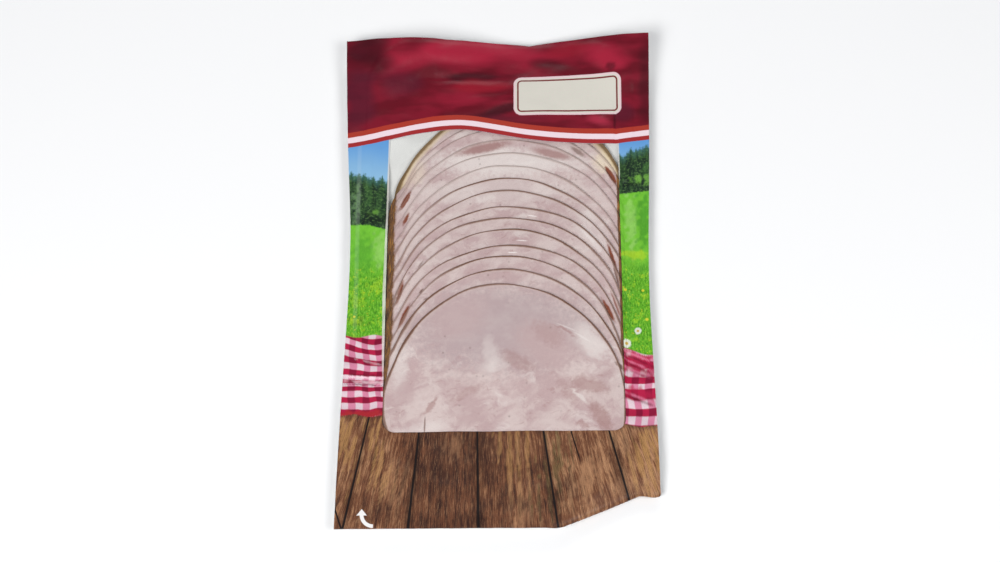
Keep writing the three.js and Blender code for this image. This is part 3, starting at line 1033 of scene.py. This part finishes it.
woodPrint = {
    "fanCentre": -12.0,
    "fanTop": -79.0,
    "fan": 0.0042,
    "seams": [-49.2, -24.2, 2.9, 33.5, 63.8],      # along the fan's top
    "crack": 46.2,
    "seamWidth": 0.5,
    "inks": {
        "brown": (112, 70, 48), "dark": (54, 32, 26), "light": (180, 134, 98), "honey": (176, 132, 82),
        "seam": (24, 16, 15), "olive": (104, 88, 56),
    },
    # share of each plank that is light
    "tones": [0.62, 0.54, 0.26, 0.38, 0.66, 0.84],
    "patches": [
        (-70, -84, 3.2, 12, 8, "honey", 0.7), (-55.5, -90, 3, 14, 10, "honey", 0.75),
        (-48, -104, 5, 9, 10, "light", 0.4), (-40, -92, 3, 12, 0, "dark", 0.45),
        (-52, -118, 8, 5, 0, "dark", 0.4), (-26, -96, 9, 16, 0, "dark", 0.45),
        (-20, -84, 4, 5, 0, "light", 0.3), (-4, -95, 5, 16, 0, "dark", 0.6),
        (9, -92, 4.6, 12, 0, "honey", 0.5), (12, -112, 5, 10, 0, "light", 0.4),
        (0, -113, 18, 2.6, 0, "dark", 0.45), (28, -92, 5, 11, -12, "olive", 0.75),
        (33, -104, 5, 8, -16, "dark", 0.5), (42, -98, 4, 12, -14, "light", 0.6),
        (68, -88, 3, 12, -12, "honey", 0.8), (57, -92, 3.2, 12, -12, "dark", 0.4),
        (71.5, -99, 4, 9, -12, "honey", 0.65), (61, -105, 6, 5, -14, "light", 0.35),
    ],
}


def woodColour(f):
    w, inks = woodPrint, woodPrint["inks"]
    across = (f.x - w["fanCentre"]) / (1 + (w["fanTop"] - f.y) * w["fan"])
    drift = f.noise(f.place(across * 0.3, f.y * 0.1), 0.5, 2.0) * 2.5
    grain = f.noise(f.place(across + drift, f.y * 0.05), 0.75, 6.0, 0.72)
    lines = f.noise(f.place(across + drift * 0.5, f.y * 0.03), 4.2, 4.0, 0.7)
    mottle = f.noise(f.place(across * 1.3, f.y * 0.55), 0.14, 5.0, 0.68)
    ticks = f.noise(f.place(across * 2.0, f.y * 0.8), 1.3, 2.0, 0.6)
    tone, gap = w["tones"][0], 999.0
    for seam, nextTone, lastTone in zip(w["seams"], w["tones"][1:], w["tones"]):
        tone = f.ease(across, seam - 0.1, seam + 0.1) * (nextTone - lastTone) + tone
        gap = f.least(gap, abs(across - seam))
    lightness = grain * 0.55 + mottle * 0.45 + (tone - 0.5) * 0.28
    colour = f.layers(tint(inks["dark"]), inks,
                      (lightness, 0.33, 0.52, 1, "brown"), (lightness, 0.5, 0.68, 1, "light"))
    colour = f.layers(f.painted(colour), inks, (lines, 0.47, 0.38, 0.7, "dark"),
                      (lines, 0.56, 0.66, 0.5, "light"), (ticks, 0.62, 0.72, 0.35, "dark"))
    colour = f.shade(colour, 0.7 + 0.3 * f.ease(gap, 0.4, 3.0))
    crack = abs(across - (w["crack"] + (w["fanTop"] - f.y) * 0.09))
    fork = abs(f.x + 76.6 + (f.y + 108) * 0.34)
    return f.layers(colour, inks, (gap, w["seamWidth"] * 1.3, w["seamWidth"] * 0.5, 1, "seam"),
                    (crack, 0.45, 0.2, f.ease(f.y, -96, -90), "seam"),
                    (fork, 0.6, 0.25, f.ease(f.y, -106, -110), "seam"))


clothPrint = {
    "columnPitch": 6.4, "columnAt": (-0.09, 0.1),
    "rowPitch": (5.7, 8.0), "rowAt": (-36.2, -62.3),     # on the left and on the right
    "inks": {
        "both": (134, 14, 52), "row": (178, 28, 68), "column": (214, 132, 160), "none": (226, 202, 210),
        "crease": (112, 10, 40), "gleam": (246, 214, 224), "hem": (176, 40, 50), "fold": (228, 124, 156),
    },
    "patches": [
        (-63, -50.6, 11, 0.45, -3, "crease", 0.8), (-62, -51.8, 12, 0.5, -4, "gleam", 0.9),
        (-60, -54, 12, 0.9, -4, "gleam", 0.6), (-63, -55.2, 11, 0.4, -4, "crease", 0.7),
        (-58, -44.8, 8, 0.5, -14, "gleam", 0.4), (-63, -70.2, 34, 2.5, 0, "hem", 1),
        (66, -45.5, 11, 6.5, -24, "row", 0.95), (67, -60.5, 9, 2.2, -22, "row", 0.7),
        (66, -42.5, 9, 0.5, -24, "fold", 0.8), (66, -44.3, 9, 0.55, -27, "crease", 0.7),
        (65, -46.3, 9, 0.5, -27, "fold", 0.8), (66, -48.3, 9, 0.5, -28, "crease", 0.7),
        (65, -50.2, 9, 0.5, -26, "fold", 0.7), (69, -52.4, 7, 0.5, -22, "crease", 0.6),
        (66, -62.8, 9, 0.5, -22, "fold", 0.85), (67, -64.6, 9, 0.5, -22, "crease", 0.8),
    ],
}


def clothColour(f):
    c, inks = clothPrint, clothPrint["inks"]
    wander = f.noise(f.where, 0.06, 2.0)
    slope = f.ease(f.y, -60, -42) * ofSide(f, (-0.15, -0.26))
    rowY = f.y - (f.x - ofSide(f, (-62.5, 66.5))) * slope + f.wave(f.x * 0.3 + 1.0) * 0.4 + wander * 3 - 1.5
    gathered = f.ease(f.y, -50, -58) * -3.9 + 2.2
    lifted = f.ease(f.y, -66, -60) * f.ease(f.y, -54, -60) * 2.6
    rowY = rowY + gathered * (1 - f.right) - lifted * f.right
    clothX = f.x + f.wave(f.y * 0.3) * 0.5 + wander * 3
    rows = abs(f.part((rowY - ofSide(f, c["rowAt"])) / ofSide(f, c["rowPitch"]) + 0.5) - 0.5)
    columns = abs(f.part(clothX / c["columnPitch"] + ofSide(f, c["columnAt"])) - 0.5)
    inRow, inColumn = f.ease(rows, 0.3, 0.2), f.ease(columns, 0.3, 0.2)
    colour = f.blend(inColumn, tint(inks["none"]), tint(inks["column"]))
    colour = f.painted(f.blend(inRow, colour, f.blend(inColumn, tint(inks["row"]), tint(inks["both"]))))
    folds = f.wave(f.y * 0.5 + f.x * 0.12 + wander * 6)
    weave = f.noise(f.place(f.x, f.y * 1.2), 2.4, 2.0, 0.6)
    return f.shade(colour, 0.8 + folds * 0.08 + weave * 0.28)


meadowPrint = {
    "inks": {
        "high": (114, 190, 54), "low": (98, 172, 38), "blade": (48, 108, 22), "sunlit": (152, 206, 82),
        "flower": (206, 206, 54), "daisy": (224, 226, 214), "heart": (196, 160, 62),
        "pale": (146, 202, 98), "deep": (76, 154, 42), "lime": (166, 206, 44), "rust": (128, 118, 40),
    },
    "flowersBelow": 8.0,
    "patches": [
        (-56, 13, 10, 4.2, 92, "pale", 0.75), (-64.5, 10, 11, 5, 90, "deep", 0.6),
        (-57, -6, 5, 4, 0, "lime", 0.5), (-67, -14, 4, 3, 0, "lime", 0.4),
        (-66, -24, 5, 2.2, 0, "rust", 0.35), (64.4, 25, 15, 2.8, 91, "pale", 0.8),
        (70.5, 26, 15, 3.6, 90, "deep", 0.85), (66, 8.4, 8, 2.2, 2, "lime", 0.85),
        (70.5, 2, 3, 2.4, 0, "deep", 0.5), (61.5, -16, 2.4, 7, 0, "deep", 0.5),
    ],
    "daisies": [(66.3, -30.0, 1.7), (60.9, -36.2, 2.1)],
    "buttons": [(70.7, -24.3, 1.0), (69.2, -9.7, 0.9), (60.8, -9.6, 0.9), (-67.8, -21.5, 0.8)],
}


def meadowColour(f):
    m, inks = meadowPrint, meadowPrint["inks"]
    blades = f.noise(f.place(f.x + f.fine * 0.8, f.y * 0.36), 1.5, 4.0, 0.7)
    clumps = f.noise(f.place(f.x, f.y * 0.9), 0.3, 4.0, 0.65)
    near = f.ease(f.y, 10, -6)
    colour = f.painted(f.blend(near, tint(inks["high"]), tint(inks["low"])))
    colour = f.layers(
        colour, inks, (blades, 0.52, 0.34, 0.1 + near * 0.65, "blade"),
        (blades, 0.54, 0.7, 0.1 + near * 0.55, "sunlit"), (clumps, 0.54, 0.66, near * 0.45, "lime"))
    colour = f.shade(colour, 0.86 + clumps * 0.28)
    chosen = f.ease(f.noise(f.where, 0.3, 2.0), 0.5, 0.6)
    low = f.ease(f.y, m["flowersBelow"], m["flowersBelow"] - 10)
    colour = f.layers(colour, inks, (f.dots(f.where, 0.5), 0.26, 0.1, chosen * low * 0.4, "flower"))
    for x, y, radius in m["daisies"]:
        away = f.length(f.x - x, f.y - y)
        petals = radius * 0.65 + f.fine * radius * 0.7
        colour = f.layers(colour, inks, (away - petals, 0.3, -0.4, 0.9, "daisy"),
                          (away, radius * 0.5, radius * 0.2, 1, "heart"))
    for x, y, radius in m["buttons"]:
        away = f.length(f.x - x, f.y - y)
        colour = f.layers(colour, inks, (away, radius, radius * 0.5, 1, "flower"))
    return colour


treePrint = {
    "inks": {
        "dark": (30, 50, 36), "mid": (52, 82, 46), "light": (100, 138, 76), "haze": (68, 116, 106),
        "pit": (20, 34, 24), "conifer": (104, 138, 96), "leaf": (66, 108, 54), "bush": (118, 176, 70),
    },
    "patches": [
        (-68.3, 36.5, 10, 2.2, 90, "conifer", 0.7), (-62.3, 42, 8, 2.6, 90, "leaf", 0.5),
        (-60.2, 38, 11, 0.8, 90, "pit", 0.6), (-65.2, 38, 10, 0.7, 90, "pit", 0.55),
        (-57.8, 28.2, 8, 3, -14, "pit", 0.9), (-59, 32.2, 3, 0.9, 8, "bush", 0.6),
        (68.6, 47.8, 4.4, 1.8, 12, "bush", 0.9), (72.2, 53, 7, 2, 88, "leaf", 0.75),
        (72.6, 47.5, 2.4, 3, 0, "bush", 0.6), (62.6, 50, 8, 2.2, 90, "pit", 0.55),
        (64.2, 45.2, 5, 0.9, 4, "pit", 0.9),
    ],
}


def treesColour(f):
    inks = treePrint["inks"]
    boughs = f.noise(f.place(f.x, f.y * 1.3), 0.7, 4.0, 0.7)
    crowns = f.noise(f.place(f.x, f.y * 0.25), 0.32, 3.0, 0.6)
    colour = f.painted(f.layers(tint(inks["dark"]), inks, (crowns, 0.4, 0.6, 1, "mid")))
    return f.layers(colour, inks, (boughs, 0.52, 0.68, 0.55, "light"), (boughs, 0.48, 0.34, 0.6, "pit"),
                    (treeLine(f) - f.y, 5.5, 0.0, 0.6, "haze"))


def treeLine(f):
    # uneven tops of the trees
    crowns = f.noise(f.place(f.x, 3.0), 0.3, 3.0, 0.6)
    middle = f.x - ofSide(f, (printLayout["leftX"], printLayout["rightX"]))
    slant = middle * ofSide(f, printLayout["treeTopSlope"])
    return ofSide(f, printLayout["treeTop"]) + slant + (crowns - 0.5) * 9 + (f.fine - 0.5) * 3.5


skyInks = {"high": (92, 152, 214), "low": (140, 186, 220)}


def skyColour(f):
    return f.layers(tint(skyInks["high"]), skyInks, (f.y + f.broad * 6, 76, 52, 1, "low"))


headerPrint = {
    "stripes": [("lower", 0), ("middle", 2.3), ("upper", 5.2)],     # with their lower edges above the window
    "from": 8.0,
    "kinks": (-55, 0.07, 59, 0.13),     # the stripes fall or rise past these places, by these slopes
    "inks": {
        "upper": (172, 56, 42), "middle": (240, 218, 226), "lower": (162, 44, 46),
        "burgundy": (102, 8, 28), "glow": (168, 32, 58), "ember": (146, 20, 40), "night": (56, 4, 18),
        "plum": (84, 20, 40), "rose": (192, 54, 80),
    },
    # painted sheen and shade: the wavy film's reflections and shaded folds, drawn over the plain burgundy
    # ink as lighter and darker red patches
    "patches": [
        (-14, 117, 44, 8, 2, "glow", 0.95), (-40, 111, 15, 5, 24, "glow", 0.5),
        (-66, 116, 13, 10, -20, "night", 0.75), (-69, 94, 9, 22, 0, "plum", 0.75),
        (-47, 100, 13, 7, 12, "plum", 0.6), (-10, 103.8, 24, 2.2, 3, "night", 0.8),
        (-6, 98.6, 18, 3.4, 2, "ember", 0.9), (-22, 92, 18, 3.4, 2, "glow", 0.35),
        (6, 87, 18, 3, 15, "night", 0.8), (4, 81, 22, 2.4, 0, "plum", 0.4),
        (27, 110.5, 11, 3.4, -12, "night", 0.55), (36, 118, 14, 4, 0, "ember", 0.55),
        (53, 113, 12, 6.5, -18, "glow", 0.9), (56, 107.6, 2.4, 2.2, 0, "night", 0.6),
        (74, 98, 4.6, 26, 0, "night", 0.55), (50.5, 79.5, 7, 3.2, -22, "rose", 0.55),
        (60.5, 84, 6, 6, 0, "plum", 0.7), (57.6, 79, 0.7, 5, 0, "night", 0.7),
    ],
}


def aboveWindow(f):
    # height above the curve that stripeLowEdge draws, and above its kinks near the pack's sides
    w = windowShape
    leftKink, leftSlope, rightKink, rightSlope = headerPrint["kinks"]
    bump = (f.x - w["topAt"]) / w["topReach"]
    curve = f.math("POWER", math.e, bump * bump * -1) * w["topRise"] + w["topBase"]
    return f.y - curve - f.most(f.x - rightKink, 0.0) * rightSlope + f.most(leftKink - f.x, 0.0) * leftSlope


def headerColour(f):
    inks = headerPrint["inks"]
    # painted sheen: soft noise spreads the lighter red over the burgundy where the draped film would catch
    # the light
    drape = f.noise(f.place(f.x * 0.4, f.y * 1.4), 0.1, 2.0, 0.5)
    return f.painted(f.layers(tint(inks["burgundy"]), inks, (drape, 0.36, 0.68, 0.3, "glow")))


labelPrint = {
    "middle": (34.6, 93.4), "half": (26.5, 10.6), "corner": 4.0,
    "border": 0.9, "line": (1.7, 2.5),     # width of the border, and where the line lies inside the edge
    "inks": {"paper": (214, 211, 199), "border": (228, 200, 204), "line": (118, 40, 40)},
}


def addLabel(f, colour):
    # a blank cream label with round corners, a pale border and a thin line inside it
    p, inks = labelPrint, labelPrint["inks"]
    qx = abs(f.x - p["middle"][0]) - (p["half"][0] - p["corner"])
    qy = abs(f.y - p["middle"][1]) - (p["half"][1] - p["corner"])
    away = f.length(f.most(qx, 0.0), f.most(qy, 0.0)) + f.least(f.most(qx, qy), 0.0) - p["corner"]
    paper = f.layers(tint(inks["paper"]), inks, (f.fine, 0.4, 0.7, 0.15, "border"))
    colour = f.layers(colour, inks, (away, 0.2, -0.2, 1, "border"))
    colour = f.blend(f.ease(away, 0.2 - p["border"], -0.2 - p["border"]), colour, paper)
    start, end = p["line"]
    inside = f.ease(away, -end - 0.15, -end + 0.15)
    return f.layers(colour, inks, (away, -start + 0.15, -start - 0.15, inside, "line"))


arrowPrint = {
    "middle": (-56.6, -117.6), "radius": 5.3, "halfWidth": 0.85,
    "tip": (-61.9, -114.9), "headLength": 3.0, "headWidth": 2.4, "ink": (238, 236, 234),
}


def addPeelArrow(f, colour):
    # a quarter ring that starts at the lower right and ends in an arrow head pointing up
    a = arrowPrint
    dx, dy = f.x - a["middle"][0], f.y - a["middle"][1]
    ring = f.ease(abs(f.length(dx, dy) - a["radius"]), a["halfWidth"] + 0.15, a["halfWidth"] - 0.15)
    ring = ring * f.ease(dx, 0.2, -0.2) * f.ease(dy, 0.2, -0.2)
    down = a["tip"][1] - f.y
    inside = down * (a["headWidth"] / a["headLength"]) - abs(f.x - a["tip"][0])
    head = f.ease(inside, -0.15, 0.15) * f.ease(down, a["headLength"] + 0.2, a["headLength"] - 0.2)
    return f.blend(f.most(ring, head), colour, tint(a["ink"]))


def printedFinish():
    f = PrintSheet("printedFilm")
    layout, header = printLayout, headerPrint
    hem, above = woodTopY(f), aboveWindow(f)
    colour = f.layers(woodColour(f), layout["inks"], (f.y - hem, -2.4, -0.2, 0.4, "hemShade"))
    treeBase = treeBaseY(f) + (f.fine - 0.5) * 1.4
    for over, low, high, field in (
            (f.y - hem, -0.25, 0.25, clothColour), (f.y - clothTopY(f), -0.4, 0.4, meadowColour),
            (f.y - treeBase, -0.5, 0.5, treesColour), (f.y - treeLine(f), -1.3, 0.9, skyColour)):
        colour = f.blend(f.ease(over, low, high), colour, field(f))
    # painted highlight of the film crease down the left strip
    gleam = f.ease(abs(f.x - layout["gleamX"]), 1.4, 0.5)
    colour = f.layers(colour, layout["inks"], (f.y, -36, -20, gleam * 0.06, "gleam"))
    for ink, start in header["stripes"]:
        colour = f.layers(colour, header["inks"], (above, start - 0.2, start + 0.2, 1, ink))
    colour = f.blend(f.ease(above, header["from"] - 0.2, header["from"] + 0.2), colour, headerColour(f))
    # the ink ends a little outside the window, on the left down to the cloth and on the right at the top;
    # this bare strip is painted pale as painted light, for the bright ground seen through the clear film,
    # and it also covers the shading along the film's cut edge
    bare = (1 - f.right) * f.ease(f.y, -62, -40) + f.right * f.ease(f.y, 44, 52)
    edge = f.attribute("edge") - bare * 0.9 - f.fine * 0.4
    bare = f.ease(above, 0.2, -0.2) * bare * 0.8
    colour = f.layers(colour, layout["inks"], (edge, 0.6, 0.2, bare, "windowEdge"))
    colour = addPeelArrow(f, addLabel(f, colour))
    return f.surface({
        "Base Color": colour, "Roughness": 0.34 + f.broad * 0.1, "Specular IOR Level": 0.25,
        "Normal": f.relief(f.noise(f.where, 0.28, 3.0, 0.6), 0.25, 0.4),
    })


frontMeat = meatFinish("frontMeat", rindColours["front"], meatClouds, meatMarks)
backMeat = meatFinish("backMeat", rindColours["back"], meatClouds, [])
windowClear = clearFilmFinish("windowClear", (238, 240, 240), 0.015, 0.16)
backClear = clearFilmFinish("backClear", (250, 250, 246), 0.72, 0.25)
print("finishes ready")

for index in range(sliceCount):
    makeSlice(index, backMeat if index == 0 else frontMeat)
print("slices laid:", sliceCount)

makeBackFilm(backClear)
makeWindowFilm(windowClear)
makePrintedFilm(printedFinish())
print("films made")


def addFloor():
    half = studio["floorSize"] / 2
    corners = np.array([[-half, -half, 0], [half, -half, 0], [half, half, 0], [-half, half, 0]], float)
    floor = makeMesh("floor", corners, [np.array([[0, 1, 2, 3]])])
    f = Finish("floor")
    floor.data.materials.append(f.surface({"Base Color": tint(studio["floorColour"]), "Roughness": 0.7}))


addFloor()
